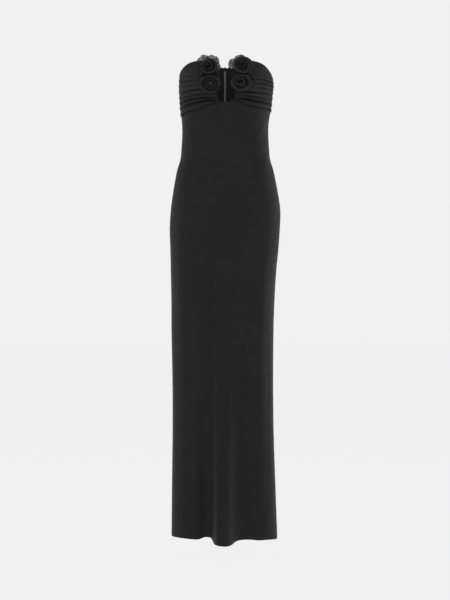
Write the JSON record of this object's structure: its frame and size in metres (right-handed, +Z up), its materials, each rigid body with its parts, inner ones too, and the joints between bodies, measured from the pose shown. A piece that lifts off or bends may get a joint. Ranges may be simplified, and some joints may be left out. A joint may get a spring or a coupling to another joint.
{
  "type": "maxi dress",
  "caption": "Strapless column maxi dress with gathered cups, a keyhole front, rolled fabric roses with sheer petals and a centre-back zip.",
  "frame": {"origin": "inside the bust ring, where the wearer's bust holds the dress up", "axes": "+Z up along the dress, the front faces -Y, +X is to the right of a viewer who faces the front"},
  "size_m": [0.3011, 0.2644, 1.2982],
  "materials": {
    "crepe": "matte black crepe with a faint sheen at grazing angles",
    "sheer": "sheer black organza",
    "zip_tape": "woven black tape with a grey coil",
    "zip_metal": "black lacquered zip slider"
  },
  "bodies": {
    "dress": {"front": "crepe", "back_left": "crepe", "back_right": "crepe", "cup_left": "crepe", "cup_right": "crepe", "keyhole_binding": "crepe", "keyhole_bridge": "crepe", "rose_upper_left": "crepe", "rose_upper_right": "crepe", "rose_lower_left": "crepe", "rose_lower_right": "crepe", "petal_left_1": "sheer", "petal_left_2": "sheer", "petal_left_3": "sheer", "petal_left_4": "sheer", "petal_right_1": "sheer", "petal_right_2": "sheer", "petal_right_3": "sheer", "petal_curl": "sheer", "zip_tape": "zip_tape", "zip_slider": "zip_metal"},
    "pull": {"zip_pull": "zip_metal"}
  },
  "joints": [
    {"name": "zip_pull_hinge", "type": "hinge", "parent": "dress", "child": "pull", "pos_m": [0, 0.09544, 0.0715], "axis": [1, 0, 0], "range_deg": [-4, 165]}
  ]
}
